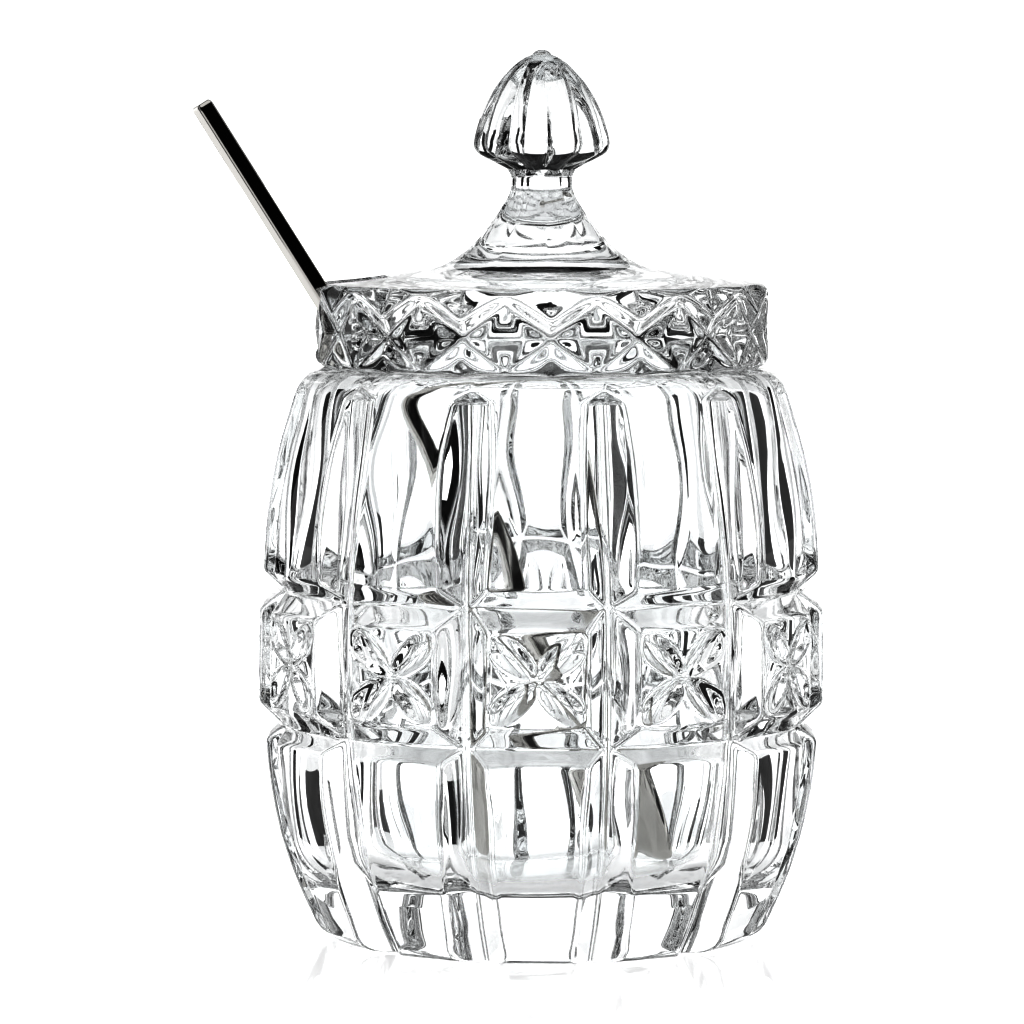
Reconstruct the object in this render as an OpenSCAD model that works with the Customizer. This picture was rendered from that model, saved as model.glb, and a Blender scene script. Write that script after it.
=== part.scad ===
// Clear crystal honey jar: twelve-panel cut barrel, star-cut lid that lifts off, and a steel spoon.
// Millimetres, +Z up, origin on the axis at the underside. The spoon slot faces left (-X).

/* [Jar] */
// Height of the jar without its lid
jar_height = 90.2; // [80:0.1:110]
// Across the flats of the middle band
middle_width = 89.5; // [80:0.1:110]
// Across the flats of the upper band at its lower, widest edge
upper_width = 88.0; // [80:0.1:108]
// Across the flats of the upper band just under the shoulder
shoulder_width = 78.0; // [72:0.1:96]
// Across the rim
rim_width = 68.6; // [64:0.1:90]
// Across the flats of the lower band at its top edge
lower_width = 87.4; // [78:0.1:108]
// Across the flats at the foot
foot_width = 73.0; // [64:0.1:90]
// Inner width of the mouth
mouth_width = 59.4; // [54:0.1:68]
// Widest inner width
cavity_width = 63.0; // [56:0.1:70]
// Thickness of the glass under the cavity
floor_thickness = 11.8; // [8:0.1:18]
// Rounding between cavity wall and floor
floor_round = 7; // [3:0.5:12]

/* [Jar cuts] */
// Panels around
panels = 12; // [10:2:14]
// Height of the ring groove over the middle band
groove_high = 55.6; // [50:0.1:60]
// Height of the ring groove under the middle band
groove_low = 34.1; // [30:0.1:40]
// Depth of the ring grooves below the middle band
ring_depth = 3.2; // [2:0.1:4]
// Half width of a ring groove
ring_half_width = 3.1; // [2.2:0.1:4.5]
// Depth of the upright mitres below the flats
mitre_depth = 3.4; // [2:0.1:4.4]
// Half width of an upright mitre at the flats
mitre_half_width = 3.9; // [3:0.1:5.4]
// Depth of the four leaf cuts in each panel of the middle band
leaf_depth = 1.5; // [0.8:0.1:2.2]
// Length of a leaf cut, from the panel's middle towards its corner
leaf_length = 9.4; // [7:0.1:10.4]
// Half width of a leaf cut at its middle
leaf_half_width = 2.1; // [1:0.1:2.6]
// Slope of a leaf cut from the horizontal
leaf_slope = 43; // [38:1:50]

/* [Lid] */
// Outer width of the star-cut band
band_width = 72.2; // [68:0.1:90]
// Height of the star-cut band
band_height = 11.4; // [9:0.1:16]
// Height of the cover's rounded edge over the rim
edge_height = 13.3; // [11.5:0.1:20]
// Height of the cover over the rim at the foot of the flare
cover_height = 14.6; // [12:0.1:22]
// Width of the neck
neck_width = 9.7; // [7:0.1:14]
// Height of the neck's top over the rim
neck_top = 30.6; // [26:0.1:38]
// Star cuts around the band
stars = 16; // [12:1:20]
// Depth of the star cuts
star_depth = 1.3; // [0.8:0.05:1.8]
// Half width of a star cut at its middle
star_half_width = 1.7; // [0.8:0.1:2.4]
// Direction of the first star from +X
star_turn = 2.0; // [0:0.5:22]
// Clearance of the locating ring in the mouth
ring_clearance = 0.9; // [0.4:0.1:2]
// Depth of the locating ring below the rim
ring_drop = 2.4; // [1:0.1:5]
// Thickness of the locating ring
ring_thickness = 3.6; // [2:0.1:5]
// Height of the hollow under the cover over the rim
hollow_height = 8.4; // [4:0.1:12]
// Width of the spoon slot
slot_width = 9.6; // [7:0.1:14]
// Direction of the spoon slot from +X
slot_turn = 186; // [176:1:196]

/* [Knob] */
// Width over the lip of the knob
knob_width = 21.4; // [16:0.1:28]
// Height of the knob from its underside to the tip
knob_height = 19.2; // [14:0.1:26]
// Lobes around the knob
lobes = 10; // [6:1:12]
// Depth of the creases between the lobes at the lip
crease_depth = 1.3; // [0.4:0.1:2.4]
// Direction of a crease from +X
knob_turn = 22; // [0:1:35]

/* [Spoon] */
// Length of the spoon
spoon_length = 140.3; // [120:1:160]
// Width of the handle at its end
handle_width = 4.2; // [3:0.1:6]
// Thickness of the handle
handle_thickness = 2.5; // [1.4:0.1:3]
// Lean of the spoon from upright
spoon_lean = 32; // [28:0.5:36]
// Turn of the spoon about its own length
spoon_roll = 14; // [0:1:30]
// Width of the bowl
bowl_width = 19; // [14:0.5:26]
// Length of the bowl
bowl_length = 29; // [20:0.5:36]
// Depth of the bowl
bowl_depth = 4.2; // [2:0.1:7]

/* [Hidden] */
$fn = 96;
step = 360 / panels;
half = step / 2;
front_turn = -91.2;
rim_r = rim_width / 2;
mouth_r = mouth_width / 2;
cavity_r = cavity_width / 2;
mid_r = middle_width / 2;
up_r = upper_width / 2;
shoulder_r = shoulder_width / 2;
low_r = lower_width / 2;
foot_r = foot_width / 2;
band_r = band_width / 2;
neck_r = neck_width / 2;
knob_r = knob_width / 2;
ring_r = mid_r - ring_depth;
ring_outer = mouth_r - ring_clearance;
ring_inner = ring_outer - ring_thickness;
rim = jar_height;
low_top = groove_low - ring_half_width;
mid_low = groove_low + ring_half_width;
mid_high = groove_high - ring_half_width;
up_low = groove_high + ring_half_width;

// Points along a bowed line from a to b, its middle raised to the right of the way.
function bowed(a, b, rise, n) = [for (i = [0 : n])
    let (t = i / n, d = b - a, l = norm(d), side = [d[1], -d[0]] / l)
    a + d * t + side * rise * 4 * t * (1 - t)];
function mirrored(pts) = [for (i = [len(pts) - 1 : -1 : 0]) [-pts[i][0], pts[i][1]]];
function turned(p, a) = [p[0] * cos(a) - p[1] * sin(a), p[0] * sin(a) + p[1] * cos(a)];
// Smooth step from 0 to 1.
function eased(t) = let (u = min(1, max(0, t))) u * u * (3 - 2 * u);

// Half outline across the flats, from the foot to the rim.
function flats() = concat(
    [[foot_r - 3.8, 0], [foot_r - 2.6, 0.3], [foot_r - 1.5, 1.0], [foot_r - 0.7, 2.0]],
    bowed([foot_r - 0.1, 3.4], [low_r - 0.1, low_top - 0.5], 1.5, 8),
    [[low_r, groove_low - 0.3], [mid_r, groove_low + 0.3]],
    [[mid_r, groove_high - 0.3], [up_r, groove_high + 0.3]],
    bowed([up_r - 0.1, up_low + 1.4], [shoulder_r + 1.0, rim - 7.4], 0.8, 6),
    [[shoulder_r, rim - 4.0], [shoulder_r - 0.6, rim - 2.5], [shoulder_r - 1.6, rim - 1.2]],
    [[shoulder_r - 2.9, rim - 0.35], [rim_r, rim]]
);

// Bottom line of an upright mitre, as radius and height.
function mitre_line() = [
    [foot_r - mitre_depth - 3.0, -0.6], [foot_r - mitre_depth + 0.3, 5.4],
    [foot_r - mitre_depth + 4.8, 16.0], [low_r - mitre_depth - 0.2, low_top - 3.0],
    [mid_r - mitre_depth - 0.2, mid_low], [mid_r - mitre_depth - 0.2, mid_high],
    [up_r - mitre_depth, up_low + 2.0], [up_r - mitre_depth - 1.6, up_low + 13.0],
    [shoulder_r - 2.7, rim - 3.8], [shoulder_r + 2.6, rim + 0.6]];

// One slab whose two long faces are a pair of opposite panels.
module panel_slab() {
    rotate([90, 0, 0])
        linear_extrude(height = 130, center = true)
            polygon(concat(flats(), mirrored(flats())));
}

// The barrel: every pair of panels takes its share off the others.
module barrel() {
    intersection() {
        rotate([0, 0, 0 * step]) panel_slab();
        rotate([0, 0, 1 * step]) panel_slab();
        rotate([0, 0, 2 * step]) panel_slab();
        rotate([0, 0, 3 * step]) panel_slab();
        rotate([0, 0, 4 * step]) panel_slab();
        rotate([0, 0, 5 * step]) panel_slab();
    }
}

// A straight V cut along the line from a to b, each a radius and a height, run on past its ends.
module v_bar(a, b, v_half, v_depth, before, after) {
    d = b - a;
    over = 2.5 * v_depth;
    translate([a[0], 0, a[1]])
        rotate([0, atan2(d[0], d[1]), 0])
            translate([0, 0, -before])
                linear_extrude(height = norm(d) + before + after)
                    polygon([[0, 0], [over, v_half * over / v_depth], [over, -v_half * over / v_depth]]);
}

// How far a run goes on past joint i: only where the line turns inwards, so that it never cuts deeper.
function run_on(line, i) = i == 0 || i == len(line) - 1 ? 1
    : cross(line[i] - line[i - 1], line[i + 1] - line[i]) > 0 ? 1.1 : 0.12;

// The mitre between two panels, in straight runs that follow the barrel.
module upright_mitre() {
    line = mitre_line();
    for (i = [0 : len(line) - 2])
        v_bar(line[i], line[i + 1], mitre_half_width, mitre_depth + 0.3, run_on(line, i), run_on(line, i + 1));
}

// The path of a V-edged wheel that leaves a leaf-shaped cut of the given length along Y.
module leaf(depth, length, v_half) {
    reach = length / 2;
    wheel = (reach * reach + depth * depth) / (2 * depth);
    inset = 2.4 * depth;
    sweep = min(88, 1.25 * asin(reach / wheel));
    translate([wheel - depth, 0, 0])
        rotate([0, 0, 180 - sweep])
            rotate_extrude(angle = 2 * sweep)
                polygon([[wheel, 0], [wheel - inset, v_half * 2.4], [wheel - inset, -v_half * 2.4]]);
}

// Four leaves in a cross, from the middle of a panel towards its corners.
module leaf_cross() {
    for (side = [0, 180])
        for (slope = [leaf_slope, -leaf_slope])
            rotate([side + slope, 0, 0])
                translate([0, leaf_length / 2 + 0.1, 0])
                    leaf(leaf_depth, leaf_length, leaf_half_width);
}

// A V groove turned round the barrel at the given height.
module ring_groove(height) {
    over = max(low_r, mid_r, up_r) / cos(half) - ring_r + 2;
    rise = over * ring_half_width / ring_depth;
    rotate_extrude()
        polygon([[ring_r, height], [ring_r + over, height - rise], [ring_r + over, height + rise]]);
}

module cavity() {
    floor_z = floor_thickness;
    k = floor_round;
    rotate_extrude()
        polygon(concat(
            [[0, floor_z], [cavity_r - 1.4 - k, floor_z]],
            [for (a = [-75 : 15 : 0]) [cavity_r - 1.4 - k + k * cos(a), floor_z + k + k * sin(a)]],
            [[cavity_r, groove_high - 4], [cavity_r, groove_high + 8]],
            [[cavity_r - 0.6, rim - 14], [mouth_r + 0.3, rim - 6], [mouth_r, rim - 3.4]],
            [[mouth_r, rim - 0.9], [mouth_r + 0.3, rim - 0.3], [mouth_r + 0.9, rim], [mouth_r + 0.9, rim + 1]],
            [[0, rim + 1]]
        ));
}

module jar() {
    color([0.84, 0.92, 0.95, 0.5])
    rotate([0, 0, front_turn])
    difference() {
        barrel();
        ring_groove(groove_low);
        ring_groove(groove_high);
        for (i = [0 : panels - 1])
            rotate([0, 0, half + i * step]) upright_mitre();
        for (i = [0 : panels - 1])
            rotate([0, 0, i * step])
                translate([mid_r, 0, (mid_low + mid_high) / 2]) leaf_cross();
        cavity();
    }
}

// Half section of the cover from the band up to the neck.
function cover_line() = [
    [band_r - 1.9, rim], [band_r - 0.5, rim + 0.5], [band_r, rim + 1.5],
    [band_r, rim + edge_height - 1.4], [band_r - 0.3, rim + edge_height - 0.7],
    [band_r - 1.2, rim + edge_height - 0.1], [band_r - 3.2, rim + edge_height + 0.1],
    [band_r - 7.4, rim + edge_height + 0.5], [band_r - 12.4, rim + edge_height + 1.2],
    [neck_r + 14.2, rim + cover_height + 0.5], [neck_r + 10.8, rim + cover_height + 1.4],
    [neck_r + 8.9, rim + cover_height + 2.4], [neck_r + 7.3, rim + cover_height + 3.6],
    [neck_r + 5.1, rim + cover_height + 5.7], [neck_r + 3.4, rim + cover_height + 7.8],
    [neck_r + 1.6, rim + cover_height + 10.4], [neck_r + 0.8, rim + cover_height + 11.6],
    [neck_r + 0.2, rim + cover_height + 12.7], [neck_r, rim + cover_height + 13.8], [neck_r, rim + neck_top + 1.5]];

module lid_blank() {
    rotate_extrude()
        polygon(concat(
            [[ring_inner, rim - ring_drop], [ring_outer - 0.6, rim - ring_drop]],
            [[ring_outer, rim - ring_drop + 0.6], [ring_outer, rim]],
            cover_line(),
            [[0, rim + neck_top + 1.5], [0, rim + hollow_height]],
            [[ring_inner - 9, rim + hollow_height], [ring_inner - 3.5, rim + hollow_height - 0.8]],
            [[ring_inner - 1.0, rim + hollow_height - 2.8], [ring_inner, rim + hollow_height - 5.6]]
        ));
}

// A straight V cut across the band: its curve makes the cut a leaf.
module band_cut(depth, v_half, reach, slope) {
    over = depth + 3;
    rotate([slope, 0, 0])
        translate([-depth, 0, 0])
            rotate([90, 0, 0])
                linear_extrude(height = 2 * reach, center = true)
                    polygon([[0, 0], [over, v_half * over / depth], [over, -v_half * over / depth]]);
}

// A shallow facet that dips the band's edge over a star, leaning in towards that edge.
module edge_dip(side) {
    rotate([0, side * 26, 0])
        band_cut(0.35, 1.5, 4, 90);
}

// One ring of the knob: radius, lobe swell and height over the underside, for a share of the way up.
function knob_ring(r, dip, z) = [for (i = [0 : lobes * 6 - 1])
    let (a = i * 60 / lobes, c = abs(sin(a * lobes / 2)), rr = r - dip * (1 - pow(c, 0.8)))
    [rr * cos(a), rr * sin(a), z]];

// Rings of the knob from the neck up to the small tip.
function knob_rings() = let (h = knob_height, k = knob_r, d = crease_depth) [
    knob_ring(neck_r - 1.4, 0, -1.6), knob_ring(neck_r - 0.9, 0, -0.5), knob_ring(neck_r + 0.8, 0.3 * d, 0.7),
    knob_ring(k * 0.68, 0.7 * d, 1.9), knob_ring(k * 0.82, 0.9 * d, 2.7), knob_ring(k * 0.95, d, 3.3),
    knob_ring(k, d, 4.1), knob_ring(k * 0.995, d, 5.2), knob_ring(k * 0.965, d, 6.6),
    knob_ring(k * 0.915, 0.9 * d, 8.4), knob_ring(k * 0.84, 0.75 * d, 10.4), knob_ring(k * 0.74, 0.6 * d, 12.4),
    knob_ring(k * 0.62, 0.45 * d, 14.3), knob_ring(k * 0.49, 0.3 * d, 15.9), knob_ring(k * 0.36, 0.18 * d, 17.2),
    knob_ring(k * 0.23, 0.08 * d, 18.1), knob_ring(k * 0.14, 0, 18.5), knob_ring(k * 0.11, 0, h - 0.3),
    knob_ring(k * 0.06, 0, h)];

// A closed solid from rings of equal length, capped flat at both ends.
module stacked(rings) {
    n = len(rings[0]);
    m = len(rings);
    pts = [for (r = rings) each r];
    sides = [for (j = [0 : m - 2]) for (i = [0 : n - 1])
        let (p = j * n + i, q = j * n + (i + 1) % n) each [[p, q + n, q], [p, p + n, q + n]]];
    low = [for (i = [1 : n - 2]) [0, i, i + 1]];
    high = [for (i = [1 : n - 2]) [(m - 1) * n, (m - 1) * n + i + 1, (m - 1) * n + i]];
    polyhedron(points = pts, faces = concat(sides, low, high), convexity = 8);
}

module lid() {
    cell = 360 / stars;
    mid_z = rim + band_height / 2 + 0.15;
    color([0.88, 0.94, 0.97, 0.5])
    difference() {
        union() {
            lid_blank();
            translate([0, 0, rim + neck_top])
                rotate([0, 0, knob_turn]) stacked(knob_rings());
        }
        for (i = [0 : stars - 1])
            rotate([0, 0, star_turn + i * cell]) {
                translate([band_r, 0, mid_z]) band_cut(star_depth, star_half_width, 11, 38);
                translate([band_r, 0, mid_z]) band_cut(star_depth, star_half_width, 11, -38);
                translate([band_r - 0.5, 0, rim + band_height - 0.6]) edge_dip(-1);
                translate([band_r - 0.35, 0, rim + 1.4]) edge_dip(1);
            }
        rotate([0, 0, slot_turn])
            translate([mouth_r - 5.0, -slot_width / 2, rim - 10])
                cube([20, slot_width, 40]);
    }
}

// One loop around the spoon at s mm from the tip of the bowl: width, bowl depth, thickness, and centre height.
function spoon_loop(s, w, dip, t, rise) = concat(
    [for (i = [-5 : 5]) let (u = i / 5, e = 1 - 0.18 * pow(abs(u), 8))
        [w * u, -dip * (1 - u * u) - t / 2 * e + rise, s]],
    [for (i = [5 : -1 : -5]) let (u = i / 5, e = 1 - 0.18 * pow(abs(u), 8))
        [w * u, -dip * (1 - u * u) + t / 2 * e + rise, s]]);

// Half width of the bowl at s mm from its tip.
function bowl_half(s) = let (t = s / bowl_length)
    bowl_width / 2 * pow(max(0.0001, sin(180 * pow(t, 0.82))), 0.62);
function handle_half(s) = handle_width / 2 + 0.45 * (1 - s / spoon_length);

function spoon_loops() = concat(
    [for (i = [1 : 17]) let (t = 0.5 - 0.5 * cos(i * 9.6), s = bowl_length * t * 0.93 + 0.05,
        w = max(bowl_half(s), eased((s - bowl_length * 0.62) / (bowl_length * 0.3)) * handle_half(s)),
        dip = bowl_depth * pow(sin(180 * pow(min(1, s / bowl_length), 0.9)), 0.7))
        spoon_loop(s, w, dip, 1.2 + (handle_thickness - 1.2) * eased((s - bowl_length * 0.6) / 20), 0)],
    [for (s = [bowl_length + 2, bowl_length + 6, bowl_length + 12])
        spoon_loop(s, handle_half(s) * (1 - 0.1 * (bowl_length + 12 - s) / 10), 0,
            1.2 + (handle_thickness - 1.2) * eased((s - bowl_length * 0.6) / 20), 0)],
    [for (s = [bowl_length + 24, spoon_length - 0.5]) spoon_loop(s, handle_half(s), 0, handle_thickness, 0)],
    [spoon_loop(spoon_length, handle_half(spoon_length) - 0.4, 0, handle_thickness - 0.7, 0)]);

// The spoon lies along +Z here, tip at the origin, its hollow facing +Y.
module spoon_shape() {
    loops = spoon_loops();
    n = len(loops[0]);
    m = len(loops);
    pts = [for (r = loops) each r];
    h = n / 2;
    sides = [for (j = [0 : m - 2]) for (i = [0 : n - 1])
        let (p = j * n + i, q = j * n + (i + 1) % n) each [[p, q + n, q], [p, p + n, q + n]]];
    low = [for (i = [0 : h - 2]) each [[i, i + 1, n - 2 - i], [i, n - 2 - i, n - 1 - i]]];
    o = (m - 1) * n;
    high = [for (i = [0 : h - 2]) each [[o + i, o + n - 2 - i, o + i + 1], [o + i, o + n - 1 - i, o + n - 2 - i]]];
    polyhedron(points = pts, faces = concat(sides, low, high), convexity = 8);
}

module spoon() {
    lean_r = mouth_r - handle_thickness / 2 / cos(spoon_lean) - 0.35;
    tip_z = floor_thickness + 0.9;
    tip_x = (rim - tip_z) * tan(spoon_lean) - lean_r;
    color([0.75, 0.76, 0.78])
    rotate([0, 0, slot_turn - 180])
        translate([tip_x, 0, tip_z])
            rotate([0, -spoon_lean, 0])
                rotate([0, 0, -90 + spoon_roll])
                    spoon_shape();
}

jar();
lid();
spoon();
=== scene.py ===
import math

import bpy
import numpy as np
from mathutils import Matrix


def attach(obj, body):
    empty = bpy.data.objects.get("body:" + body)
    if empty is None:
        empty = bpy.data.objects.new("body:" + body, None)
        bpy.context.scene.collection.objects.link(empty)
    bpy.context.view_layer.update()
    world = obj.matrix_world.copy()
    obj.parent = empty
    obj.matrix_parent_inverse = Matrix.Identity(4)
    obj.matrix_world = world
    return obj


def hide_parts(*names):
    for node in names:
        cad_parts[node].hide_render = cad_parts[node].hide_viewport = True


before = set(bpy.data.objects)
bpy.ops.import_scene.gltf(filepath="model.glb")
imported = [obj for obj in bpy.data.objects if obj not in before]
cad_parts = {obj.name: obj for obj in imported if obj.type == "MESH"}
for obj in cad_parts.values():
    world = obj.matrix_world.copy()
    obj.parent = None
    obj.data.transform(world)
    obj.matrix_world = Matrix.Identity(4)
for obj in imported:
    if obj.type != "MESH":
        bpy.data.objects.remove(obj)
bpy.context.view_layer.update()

mm = 0.001
rimZ = 90.2


# Profile smoothing: the corners of a polyline become short quadratic curves of the given radius share.
def softened(points, share=0.3, steps=4):
    pts = np.array(points, float)
    out = [pts[0]]
    for i in range(1, len(pts) - 1):
        a, b, c = pts[i - 1], pts[i], pts[i + 1]
        p, q = b + (a - b) * share, b + (c - b) * share
        for t in np.linspace(0, 1, steps):
            out.append((1 - t) ** 2 * p + 2 * t * (1 - t) * b + t * t * q)
    out.append(pts[-1])
    return np.array(out)


# A smooth curve through the given points (centripetal Catmull-Rom).
def flowing(points, steps=8):
    pts = np.array(points, float)
    pts = np.concatenate([[2 * pts[0] - pts[1]], pts, [2 * pts[-1] - pts[-2]]])
    out = [pts[1]]
    for a, b, c, d in zip(pts, pts[1:], pts[2:], pts[3:]):
        k = np.cumsum([0] + [math.sqrt(math.dist(*pair)) for pair in ((a, b), (b, c), (c, d))])
        for t in np.linspace(k[1], k[2], steps + 1)[1:]:
            p = ((k[1] - t) * a + t * b) / k[1]
            q = ((k[2] - t) * b + (t - k[1]) * c) / (k[2] - k[1])
            r = ((k[3] - t) * c + (t - k[2]) * d) / (k[3] - k[2])
            p, q = ((k[2] - t) * p + t * q) / k[2], ((k[3] - t) * q + (t - k[1]) * r) / (k[3] - k[1])
            out.append(((k[2] - t) * p + (t - k[1]) * q) / (k[2] - k[1]))
    return np.array(out)


# Points along a polyline at the given distances between rows: one spacing for each stretch.
def spaced(points, spacing):
    pts = np.array(points, float)
    gone = np.concatenate([[0], np.cumsum(np.hypot(*np.diff(pts, axis=0).T))])
    at, marks = 0.0, [0.0]
    while at < gone[-1]:
        here = np.array([np.interp(at, gone, pts[:, 0]), np.interp(at, gone, pts[:, 1])])
        at += spacing(here[0], here[1])
        marks.append(min(at, gone[-1]))
    if marks[-1] - marks[-2] < 0.3 * (marks[-2] - marks[-3]):
        marks.pop(-2)
    marks = np.array(marks)
    return np.stack([np.interp(marks, gone, pts[:, 0]), np.interp(marks, gone, pts[:, 1])], 1)


# Smooth minimum: a, b and a dip of width k where they cross.
def softMin(a, b, k):
    h = np.clip(k - np.abs(a - b), 0, None) / k
    return np.minimum(a, b) - h * h * k * 0.25


# The slow wave of pressed, fire-polished glass: three crossing sines of angle and height, from -1 to 1.
def ripple(theta, z, shift=0.0):
    return (0.5 * np.sin(7 * theta + 0.17 * z + shift) + 0.3 * np.sin(11 * theta - 0.23 * z + 1.3 + 2 * shift)
            + 0.2 * np.sin(5 * theta + 0.31 * z + 2.1 - shift))


# A closed surface from rings of equal length, each [columns, 3], with a pole at both ends.
def ringMesh(name, rings, low, high):
    rows, cols = rings.shape[:2]
    verts = np.concatenate([rings.reshape(-1, 3), [low], [high]]) * mm
    i = np.arange(rows - 1)[:, None] * cols
    j = np.arange(cols)[None, :]
    k = (j + 1) % cols
    quads = np.stack([i + j, i + k, i + cols + k, i + cols + j], -1).reshape(-1, 4)
    n = rows * cols
    j, k = j.ravel(), k.ravel()
    caps = np.concatenate([np.stack([np.full(cols, n), k, j], 1),
                           np.stack([np.full(cols, n + 1), n - cols + j, n - cols + k], 1)])
    mesh = bpy.data.meshes.new(name)
    mesh.vertices.add(len(verts))
    mesh.vertices.foreach_set("co", verts.astype(np.float32).ravel())
    loops = np.concatenate([quads.ravel(), caps.ravel()])
    starts = np.concatenate([np.arange(len(quads)) * 4, len(quads) * 4 + np.arange(len(caps)) * 3])
    mesh.loops.add(len(loops))
    mesh.loops.foreach_set("vertex_index", loops.astype(np.int32))
    mesh.polygons.add(len(starts))
    mesh.polygons.foreach_set("loop_start", starts.astype(np.int32))
    mesh.update(calc_edges=True)
    mesh.validate()
    mesh.shade_smooth()
    obj = bpy.data.objects.new(name, mesh)
    bpy.context.collection.objects.link(obj)
    return obj


# Clear lead crystal: full transmission and a trace of cool tint.
def crystal(name):
    mat = bpy.data.materials.new(name)
    mat.use_nodes = True
    shader = mat.node_tree.nodes["Principled BSDF"]
    shader.inputs["Base Color"].default_value = (0.985, 0.992, 0.995, 1)
    shader.inputs["Roughness"].default_value = 0.0
    shader.inputs["IOR"].default_value = 1.53
    shader.inputs["Transmission Weight"].default_value = 1.0
    return mat


# Jar: twelve panels round a barrel, V mitres between them, ring grooves and crossed leaf cuts.
jarSet = {
    "panels": 12, "turn": -91.2, "columns": 480,
    "mid": 44.75, "ring": 41.55, "up": 44.0, "shoulder": 39.0, "rim": 34.3, "low": 43.7, "foot": 36.5,
    "highGroove": 55.6, "lowGroove": 34.1, "grooveHalf": 3.1,
    "crown": 0.45, "wave": 0.22, "boreWave": 0.35, "mitreDepth": 3.4, "mitreHalf": 3.9,
    "leafDepth": 1.5, "leafLength": 9.4, "leafHalf": 2.1, "leafSlope": 43,
    "mouth": 29.7, "cavity": 31.5, "floor": 11.8, "floorRound": 7.0,
}


def bowed(a, b, rise, n):
    a, b = np.array(a, float), np.array(b, float)
    t = np.linspace(0, 1, n + 1)[:, None]
    d = b - a
    side = np.array([d[1], -d[0]]) / np.hypot(*d)
    return list(a + d * t + side * rise * 4 * t * (1 - t))


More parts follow.
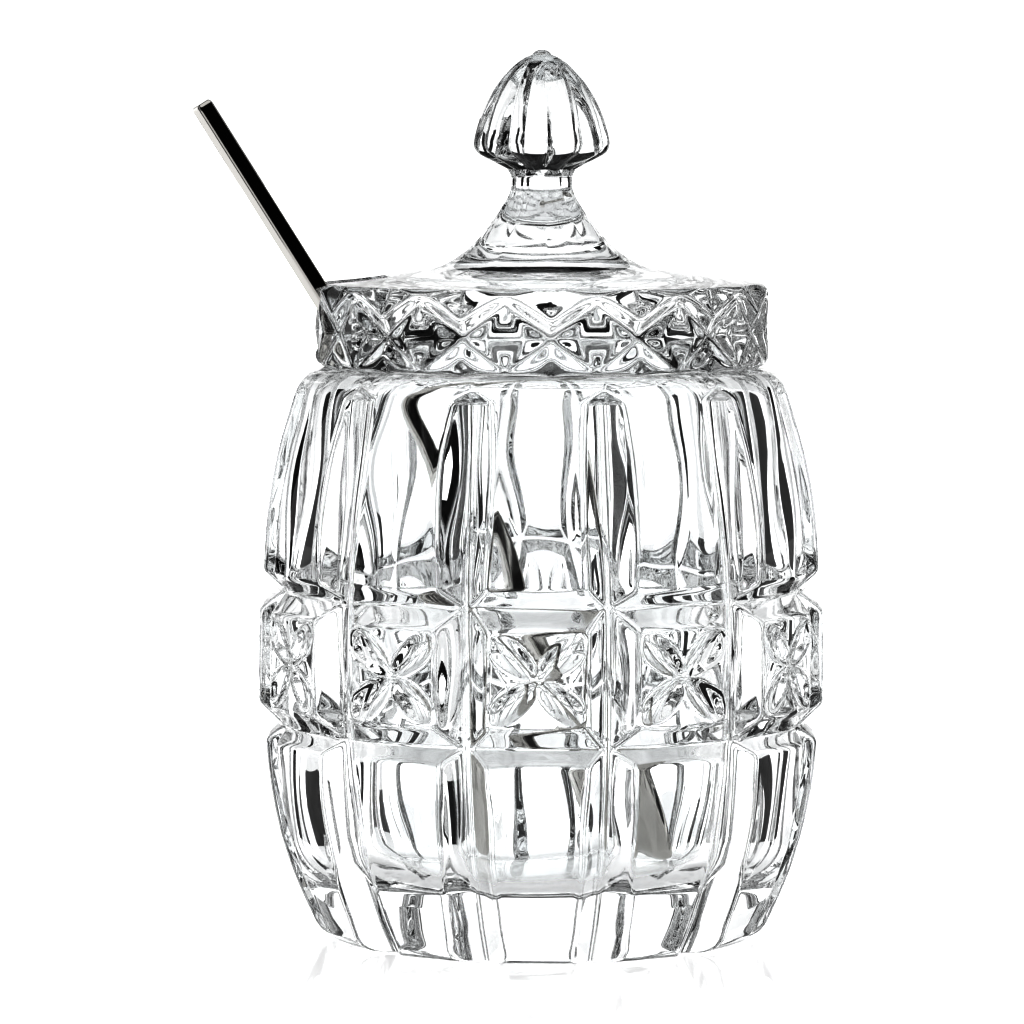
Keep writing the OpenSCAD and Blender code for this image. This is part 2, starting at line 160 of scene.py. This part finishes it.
def buildJar(s):
    lowTop, midLow = s["lowGroove"] - s["grooveHalf"], s["lowGroove"] + s["grooveHalf"]
    midHigh, upLow = s["highGroove"] - s["grooveHalf"], s["highGroove"] + s["grooveHalf"]
    outline = [(s["foot"] - 3.8, 0.0), (s["foot"] - 3.0, 0.12), (s["foot"] - 1.7, 0.8), (s["foot"] - 0.7, 2.0)]
    outline += bowed((s["foot"] - 0.1, 3.4), (s["low"] - 0.1, lowTop - 0.5), 1.5, 8)
    outline += [(s["low"], s["lowGroove"] - 0.3), (s["mid"], s["lowGroove"] + 0.3),
                (s["mid"], s["highGroove"] - 0.3), (s["up"], s["highGroove"] + 0.3)]
    outline += bowed((s["up"] - 0.1, upLow + 1.4), (s["shoulder"] + 1.0, rimZ - 7.4), 0.8, 6)
    outline += [(s["shoulder"], rimZ - 4.0), (s["shoulder"] - 0.6, rimZ - 2.5), (s["shoulder"] - 1.6, rimZ - 1.2),
                (s["shoulder"] - 2.9, rimZ - 0.35), (s["rim"], rimZ)]
    fine = lambda r, z: 0.36 if 30.5 < z < 59.5 else (0.45 if z < 3 or z > 84 else 1.25)
    rows = spaced(softened(outline, 0.35), fine)
    mitre = np.array([(s["foot"] - s["mitreDepth"] - 3.0, -0.6), (s["foot"] - s["mitreDepth"] + 0.3, 5.4),
                      (s["foot"] - s["mitreDepth"] + 4.8, 16.0), (s["low"] - s["mitreDepth"] - 0.2, lowTop - 3.0),
                      (s["mid"] - s["mitreDepth"] - 0.2, midLow), (s["mid"] - s["mitreDepth"] - 0.2, midHigh),
                      (s["up"] - s["mitreDepth"], upLow + 2.0), (s["up"] - s["mitreDepth"] - 1.6, upLow + 13.0),
                      (s["shoulder"] - 2.7, rimZ - 3.8), (s["shoulder"] + 2.6, rimZ + 0.6)])
    a, z = rows[:, :1], rows[:, 1:]
    b = np.interp(z, mitre[:, 1], mitre[:, 0])
    step = 360 / s["panels"]
    angle = (np.arange(s["columns"]) + 0.5) * 360 / s["columns"]
    off = np.radians((angle + step / 2) % step - step / 2)[None, :]
    # In plan a panel is a line with a slight crown, and a mitre's wall is a line that leaves its bottom
    # at a fixed slope.
    flat = a / np.cos(off) - s["crown"] * (off / math.radians(step / 2)) ** 2
    psi = np.sqrt((math.radians(step / 2) - np.abs(off)) ** 2 + 0.010 ** 2)
    slope = s["mitreHalf"] / (s["mitreDepth"] + 0.3)
    wall = b / (np.cos(psi) - np.sin(psi) / slope)
    r = softMin(flat, wall, 0.5)
    for height in (s["lowGroove"], s["highGroove"]):
        cone = s["ring"] + np.sqrt((z - height) ** 2 + 0.1 ** 2) * (s["mid"] - s["ring"]) / s["grooveHalf"]
        r = softMin(r, cone, 0.5)
    # Each leaf is a rounded scoop, widest towards its outer end, that runs out at both ends.
    u, v = r * np.sin(off), z - (midLow + midHigh) / 2
    cut = np.zeros_like(r)
    for slope in (s["leafSlope"], -s["leafSlope"], 180 - s["leafSlope"], 180 + s["leafSlope"]):
        c, d = math.cos(math.radians(slope)), math.sin(math.radians(slope))
        along, across = np.clip((u * c + v * d - 0.1) / s["leafLength"], 0.001, 0.999), -u * d + v * c
        swell = np.sqrt(4 * along * (1 - along))
        wide = s["leafHalf"] * swell * (0.75 + 0.5 * along)
        scoop = s["leafDepth"] * swell ** 1.3 * (1 - (across / wide) ** 2)
        cut = -softMin(-cut, -np.maximum(scoop, -2), 0.15)
    r = r - np.clip(cut, 0, None)
    turn = np.radians(angle + s["turn"])[None, :]
    r = r - s["wave"] * 0.5 * (1 + ripple(turn, z)) * np.clip(z / 6, 0, 1)
    outer = np.stack([r * np.cos(turn), r * np.sin(turn), np.broadcast_to(z, r.shape)], -1)
    k, f = s["floorRound"], s["floor"]
    inside = [(s["mouth"] + 1.1, rimZ - 0.02), (s["mouth"] + 0.3, rimZ - 0.35), (s["mouth"], rimZ - 1.1),
              (s["mouth"], rimZ - 3.4), (s["mouth"] + 0.3, rimZ - 6), (s["cavity"] - 0.6, rimZ - 14),
              (s["cavity"], s["highGroove"] + 8),
              (s["cavity"], s["highGroove"] - 4), (s["cavity"] - 1.4, f + k)]
    inside += [(s["cavity"] - 1.4 - k + k * math.cos(x), f + k - k * math.sin(x))
               for x in np.radians(np.arange(12, 91, 13))]
    inside += [(12, f), (3, f)]
    inner = spaced(softened(inside, 0.3), lambda r, z: 0.5 if z > 87 else (2.2 if z > 20 else (1.3 if r > 22 else 4)))
    turn = turn + 0 * inner[:, :1]
    fade = np.clip((rimZ - 4 - inner[:, 1:]) / 10, 0, 1)
    bore = inner[:, :1] + s["boreWave"] * ripple(turn, inner[:, 1:], 0.9) * fade
    walls = np.stack([bore * np.cos(turn), bore * np.sin(turn), np.broadcast_to(inner[:, 1:], turn.shape)], -1)
    under = np.array([[6.0, 0.0], [16.0, 0.0], [26.0, 0.0]])
    turn = np.radians(angle + s["turn"])[None, :] + 0 * under[:, :1]
    base = np.stack([under[:, :1] * np.cos(turn), under[:, :1] * np.sin(turn), 0 * turn], -1)
    rings = np.concatenate([base, outer, walls])
    return ringMesh("jarCrystal", rings, (0, 0, 0), (0, 0, f))


jar = buildJar(jarSet)
print("jar:", len(jar.data.polygons), "faces")

# Lid: star-cut band, sloping cover, flare, neck and lobed knob over a hollow with a locating ring.
lidSet = {
    "columns": 480, "band": 36.1, "bandHeight": 11.4, "edge": 13.3, "cover": 14.6, "neck": 4.85, "neckTop": 30.6,
    "stars": 16, "starDepth": 1.3, "starHalf": 1.7, "starTurn": 2.0, "starSlope": 38,
    "ringOuter": 28.8, "ringInner": 25.2, "drop": 2.4, "hollow": 8.4, "dome": 1.2, "starTaper": 0.45, "starReach": 8.6,
    "slotWidth": 9.6, "slotTurn": 186, "slotBack": 24.7,
    "knob": 10.7, "knobHeight": 19.2, "lobes": 10, "crease": 1.3, "knobTurn": 22, "wave": 0.14,
}


def buildLid(s):
    n, b, e, c = s["neck"], s["bandHeight"], s["edge"], s["cover"]
    # The ceiling of the hollow is slightly domed.
    outline = [(0.6, s["hollow"] + s["dome"]), (5.0, s["hollow"] + s["dome"] * 0.92),
               (10.0, s["hollow"] + s["dome"] * 0.6),
               (s["ringInner"] - 9, s["hollow"]), (s["ringInner"] - 3.5, s["hollow"] - 0.8),
               (s["ringInner"] - 1.0, s["hollow"] - 2.8), (s["ringInner"], s["hollow"] - 5.6),
               (s["ringInner"], -s["drop"] + 0.5), (s["ringInner"] + 0.5, -s["drop"]),
               (s["ringOuter"] - 0.6, -s["drop"]), (s["ringOuter"], -s["drop"] + 0.6), (s["ringOuter"], -0.05),
               (s["ringOuter"] + 0.4, 0.0), (s["band"] - 1.9, 0), (s["band"] - 0.5, 0.5), (s["band"], 1.5),
               (s["band"], e - 1.4), (s["band"] - 0.3, e - 0.7), (s["band"] - 1.2, e - 0.1), (s["band"] - 3.2, e + 0.1),
               (s["band"] - 6.4, e + 0.38)]
    cover = [(s["band"] - 7.4, e + 0.5), (s["band"] - 12.4, e + 1.2), (n + 14.2, c + 0.5), (n + 10.8, c + 1.4),
             (n + 7.3, c + 3.6), (n + 5.1, c + 5.7), (n + 3.4, c + 7.8), (n + 1.6, c + 10.4), (n + 0.4, c + 12.4),
             (n, c + 13.8), (n, s["neckTop"] - 0.6)]
    k, t = s["knob"], s["neckTop"]
    knob = [(n + 0.5, t + 0.5), (k * 0.68, t + 1.5), (k * 0.83, t + 2.3), (k * 0.95, t + 3.1), (k, t + 4.1),
            (k * 0.995, t + 5.2), (k * 0.965, t + 6.6), (k * 0.915, t + 8.4), (k * 0.84, t + 10.4),
            (k * 0.74, t + 12.4), (k * 0.62, t + 14.3), (k * 0.49, t + 15.9), (k * 0.36, t + 17.2),
            (k * 0.23, t + 18.1), (k * 0.14, t + 18.5), (k * 0.11, t + s["knobHeight"] - 0.3),
            (k * 0.05, t + s["knobHeight"])]
    # Rows are finest on the cut band and the knob, and coarse on the hidden underside.
    spacing = lambda r, z: 0.36 if z > t - 3 or (r > 30 and z < 14.2) else (0.55 if z > 14 or r > 24 else 1.6)
    rows = spaced(np.concatenate([softened(outline, 0.3), flowing(cover), flowing(knob)]), spacing)
    r0, z = rows[:, :1], rows[:, 1:]
    angle = (np.arange(s["columns"]) + 0.5) * 360 / s["columns"]
    r = r0 + 0 * angle[None, :]
    # A star is two crossed V cuts that get shallower away from the crossing, so that they end as petals.
    # Seen from the axis, a cut's radius is its plan distance over the cosine.
    mid, cell = b / 2 + 0.15, 360 / s["stars"]
    near = (angle - s["starTurn"] + cell / 2) % cell - cell / 2
    onBand = (z > 0.2) & (z < e - 0.1) & (r0 > s["ringOuter"] + 1.5)
    for k2 in (-1, 0, 1):
        x = np.radians(near - k2 * cell)[None, :]
        y, v = r * np.sin(x), z - mid
        for sign in (1, -1):
            cs, sn = math.cos(math.radians(s["starSlope"])), sign * math.sin(math.radians(s["starSlope"]))
            across = np.sqrt((-y * sn + v * cs) ** 2 + 0.4 ** 2) - 0.25
            along = y * cs + v * sn
            depth = s["starDepth"] - s["starTaper"] * np.clip(np.abs(along) / s["starReach"], 0, 1) ** 2
            wall = (s["band"] - depth + across * s["starDepth"] / s["starHalf"]) / np.cos(x)
            r = np.where(onBand, softMin(r, wall, 0.7), r)
    x = np.radians(near)[None, :]
    for edgeZ, inset, way in ((b - 0.6, 0.5, -1), (1.4, 0.35, 1)):
        dip = s["band"] - inset - 0.39 + way * (z - edgeZ) * math.tan(math.radians(26)) + np.abs(r * np.sin(x)) * 0.26
        r = np.where(onBand, softMin(r, dip, 0.35), r)
    # The knob's lobes: a power of the sine between creases, strongest at the lip.
    dips = [(t, 0.1), (t + 0.5, 0.6), (t + 1.5, 1.3), (t + 2.3, 1.4), (t + 3.1, 1.2), (t + 4.4, 1),
            (t + 6.6, 1), (t + 8.4, 0.9), (t + 10.4, 0.72), (t + 12.4, 0.52), (t + 14.3, 0.34),
            (t + 15.9, 0.19), (t + 17.2, 0.08), (t + 18.1, 0.02),
            (t + 18.5, 0)]
    amount = np.interp(z, [d[0] for d in dips], [d[1] for d in dips]) * s["crease"] * (r0 < 14)
    wave = np.abs(np.sin(np.radians((angle - s["knobTurn"]) * s["lobes"] / 2)))[None, :]
    r = r - amount * (1 - np.sqrt(wave ** 2 + 0.004) ** 0.8)
    turn = np.radians(angle)[None, :] + 0 * z
    waved = ((z > 0.3) & (z < t)) * np.clip(r0 / 20, 0, 1)
    r = r - s["wave"] * 0.5 * (1 + ripple(turn, 2 * z)) * waved
    rings = np.stack([r * np.cos(turn), r * np.sin(turn), z + rimZ + 0 * turn], -1)
    ceiling, tip = rimZ + s["hollow"] + s["dome"], rimZ + s["neckTop"] + s["knobHeight"]
    lid = ringMesh("lidCrystal", rings, (0, 0, ceiling), (0, 0, tip))
    # The spoon slot is cut out of the finished lid.
    w, x0, a = s["slotWidth"] / 2, s["slotBack"], math.radians(s["slotTurn"])
    square = ((x0, -w), (x0 + 20, -w), (x0 + 20, w), (x0, w))
    corners = np.array([(x, y, z) for z in (rimZ - 10, rimZ + 30) for x, y in square])
    spun = np.stack([corners[:, 0] * math.cos(a) - corners[:, 1] * math.sin(a),
                     corners[:, 0] * math.sin(a) + corners[:, 1] * math.cos(a), corners[:, 2]], 1) * mm
    mesh = bpy.data.meshes.new("slotTool")
    mesh.from_pydata(spun.tolist(), [], [(0, 3, 2, 1), (4, 5, 6, 7), (0, 1, 5, 4),
                                         (1, 2, 6, 5), (2, 3, 7, 6), (3, 0, 4, 7)])
    tool = bpy.data.objects.new("slotTool", mesh)
    bpy.context.collection.objects.link(tool)
    cutter = lid.modifiers.new("slot", "BOOLEAN")
    cutter.operation, cutter.solver, cutter.object = "DIFFERENCE", "EXACT", tool
    done = bpy.data.meshes.new_from_object(lid.evaluated_get(bpy.context.evaluated_depsgraph_get()))
    lid.modifiers.clear()
    old, lid.data = lid.data, done
    bpy.data.meshes.remove(old)
    bpy.data.objects.remove(tool)
    lid.data.name = "lidCrystal"
    lid.data.shade_smooth()
    lid.data.set_sharp_from_angle(angle=math.radians(50))
    return lid


lid = buildLid(lidSet)
print("lid:", len(lid.data.polygons), "faces")

# Spoon: a flat bar with softened edges that widens and thins into a small oval bowl.
spoonSet = {
    "length": 140.2, "width": 4.2, "thick": 2.5, "lean": 32.0, "roll": 14.0, "turn": 6.0,
    "bowlWidth": 19.0, "bowlLength": 29.0, "bowlDepth": 4.2, "edge": 1.2, "cap": 0.9, "around": 64, "along": 170,
}


def eased(t):
    t = np.clip(t, 0, 1)
    return t * t * (3 - 2 * t)


def buildSpoon(s):
    share = np.linspace(0, 1, s["along"])
    along = s["length"] * (1 - np.cos(share * math.pi * 0.5) ** 1.15)
    last = s["length"] - s["cap"] * (1 - np.sin(np.linspace(0.1, 1, 8) * math.pi / 2))
    along = np.concatenate([along[along < s["length"] - s["cap"]], last])
    t = np.clip(along / s["bowlLength"], 1e-4, 1)
    bowl = s["bowlWidth"] / 2 * np.clip(np.sin(math.pi * t ** 0.82), 1e-4, 1) ** 0.62
    handle = s["width"] / 2 + 0.45 * (1 - along / s["length"])
    joined = np.maximum(bowl, eased((along / s["bowlLength"] - 0.62) / 0.3) * handle)
    half = np.where(along < s["bowlLength"] * 0.95, joined, handle)
    kernel = np.array([1, 4, 6, 4, 1]) / 16
    half[4:-4] = np.convolve(half, kernel, "same")[4:-4]
    dip = s["bowlDepth"] * np.clip(np.sin(math.pi * np.clip(along / s["bowlLength"], 0, 1) ** 0.9), 0, 1) ** 0.7
    thick = s["edge"] + (s["thick"] - s["edge"]) * eased((along - s["bowlLength"] * 0.6) / 20)
    left = np.clip((s["length"] - along) / s["cap"], 0, 1)
    cap = np.sqrt(np.clip(1 - (1 - left) ** 2, 0, 1))
    half, thick = half - 0.5 * (1 - cap), thick - 0.8 * (1 - cap)
    phi = (np.arange(s["around"]) + 0.5) * 2 * math.pi / s["around"]
    # The section is a superellipse: straight faces with rounded edges, bent down in its middle by the bowl.
    power = 2 / 9
    cx = np.sign(np.cos(phi)) * np.abs(np.cos(phi)) ** power
    cy = np.sign(np.sin(phi)) * np.abs(np.sin(phi)) ** power
    x = half[:, None] * cx[None, :]
    y = thick[:, None] / 2 * cy[None, :] - dip[:, None] * (1 - cx[None, :] ** 2)
    z = along[:, None] + 0 * x
    roll, lean, turn = math.radians(-90 + s["roll"]), math.radians(-s["lean"]), math.radians(s["turn"])
    leanR = jarSet["mouth"] - s["thick"] / 2 / math.cos(lean) - 0.35
    tipZ = jarSet["floor"] + 0.9
    tipX = (rimZ - tipZ) * math.tan(-lean) - leanR

    def placed(x, y, z):
        x, y = x * math.cos(roll) - y * math.sin(roll), x * math.sin(roll) + y * math.cos(roll)
        x, z = x * math.cos(lean) + z * math.sin(lean), -x * math.sin(lean) + z * math.cos(lean)
        x, z = x + tipX, z + tipZ
        return np.stack([x * math.cos(turn) - y * math.sin(turn), x * math.sin(turn) + y * math.cos(turn), z], -1)

    rings = placed(x, y, z)
    ends = placed(np.array([0.0, 0.0]), np.array([0.0, 0.0]), np.array([along[0], along[-1]]))
    return ringMesh("spoonSteel", rings, ends[0], ends[1])


spoon = buildSpoon(spoonSet)
print("spoon:", len(spoon.data.polygons), "faces")

steel = bpy.data.materials.new("polishedSteel")
steel.use_nodes = True
shader = steel.node_tree.nodes["Principled BSDF"]
shader.inputs["Base Color"].default_value = (0.66, 0.65, 0.63, 1)
shader.inputs["Metallic"].default_value = 1.0
shader.inputs["Roughness"].default_value = 0.09

jar.data.materials.append(crystal("jarCrystal"))
lid.data.materials.clear()
lid.data.materials.append(crystal("lidCrystal"))
spoon.data.materials.append(steel)
for obj, body, node, slotName in ((jar, "jar", "jar", "jar_crystal"), (lid, "lid", "lid", "lid_crystal"),
                                  (spoon, "spoon", "spoon", "spoon_steel")):
    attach(obj, body)
    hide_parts(node)


# Studio: a pale floor, a white world behind, soft light, and dark flags beside the line of sight.
def plain(name, colour, rough, glow=0.0):
    mat = bpy.data.materials.new(name)
    mat.use_nodes = True
    shader = mat.node_tree.nodes["Principled BSDF"]
    shader.inputs["Base Color"].default_value = (*colour, 1)
    shader.inputs["Roughness"].default_value = rough
    if glow:
        shader.inputs["Emission Color"].default_value = (1, 1, 1, 1)
        shader.inputs["Emission Strength"].default_value = glow
    return mat


def card(name, corners, mat, parent=None):
    mesh = bpy.data.meshes.new(name)
    mesh.from_pydata([tuple(c) for c in corners], [], [(0, 1, 2, 3)])
    obj = bpy.data.objects.new(name, mesh)
    bpy.context.collection.objects.link(obj)
    obj.data.materials.append(mat)
    if parent:
        obj.parent = parent
        obj.visible_camera = False
        obj.visible_diffuse = False
    return obj


camData = bpy.data.cameras.new("camera")
camData.lens, camData.sensor_width = 193.5, 36
camera = bpy.data.objects.new("camera", camData)
bpy.context.collection.objects.link(camera)
camDistance, camHeight, aimHeight = 0.870, 0.136, 0.067
camera.location = (-0.0047, -camDistance, camHeight)
tilt = math.atan2(camHeight - aimHeight, camDistance)
camera.rotation_euler = (math.pi / 2 - tilt, 0, 0)
bpy.context.scene.camera = camera

paleFloor = plain("paleFloor", (0.25, 0.25, 0.25), 0.07, 0.7)
reach, drop = 6, -0.0002
card("floor", [(-reach, -reach, drop), (reach, -reach, drop), (reach, reach, drop), (-reach, reach, drop)], paleFloor)
black = plain("blackFlag", (0.004, 0.004, 0.004), 0.9)
# Narrow black flags beside and above the view, in the camera's own axes: name, x, nearest and
# farthest distance. The outer pair serves the views from farther away.
sideFlags = [("farLeft", -0.2, 0.97, 1.07), ("farRight", 0.2, 0.97, 1.07), ("midLeft", -0.3, 0.84, 0.94),
             ("midRight", 0.3, 0.84, 0.94), ("nearLeft", -0.3, 0.3, 0.75), ("nearRight", 0.2, 0.35, 0.75),
             ("backLeft", -0.34, 1.48, 1.57), ("backRight", 0.34, 1.48, 1.57),
             ("outerLeft", -0.25, 1.32, 1.42), ("outerRight", 0.25, 1.32, 1.42)]
for name, x, near, far in sideFlags:
    card(name, [(x, -0.3, -near), (x, 0.5, -near), (x, 0.5, -far), (x, -0.3, -far)], black, camera)
card("above", [(-0.24, 0.2, -0.9), (0.24, 0.2, -0.9), (0.24, 0.2, -1.2), (-0.24, 0.2, -1.2)], black, camera)
card("behindCamera", [(-0.6, -0.3, 0.3), (0.6, -0.3, 0.3), (0.6, 0.9, 0.3), (-0.6, 0.9, 0.3)], black, camera)

world = bpy.data.worlds.new("world")
bpy.context.scene.world = world
world.use_nodes = True
world.node_tree.nodes["Background"].inputs["Color"].default_value = (1, 1, 1, 1)
world.node_tree.nodes["Background"].inputs["Strength"].default_value = 1.05

scene = bpy.context.scene
scene.view_settings.view_transform = "Standard"
scene.view_settings.exposure = 0.11
scene.view_settings.gamma = 0.44
scene.cycles.max_bounces = 40
scene.cycles.transmission_bounces = 40
scene.cycles.glossy_bounces = 12
scene.cycles.transparent_max_bounces = 16
print("studio done")
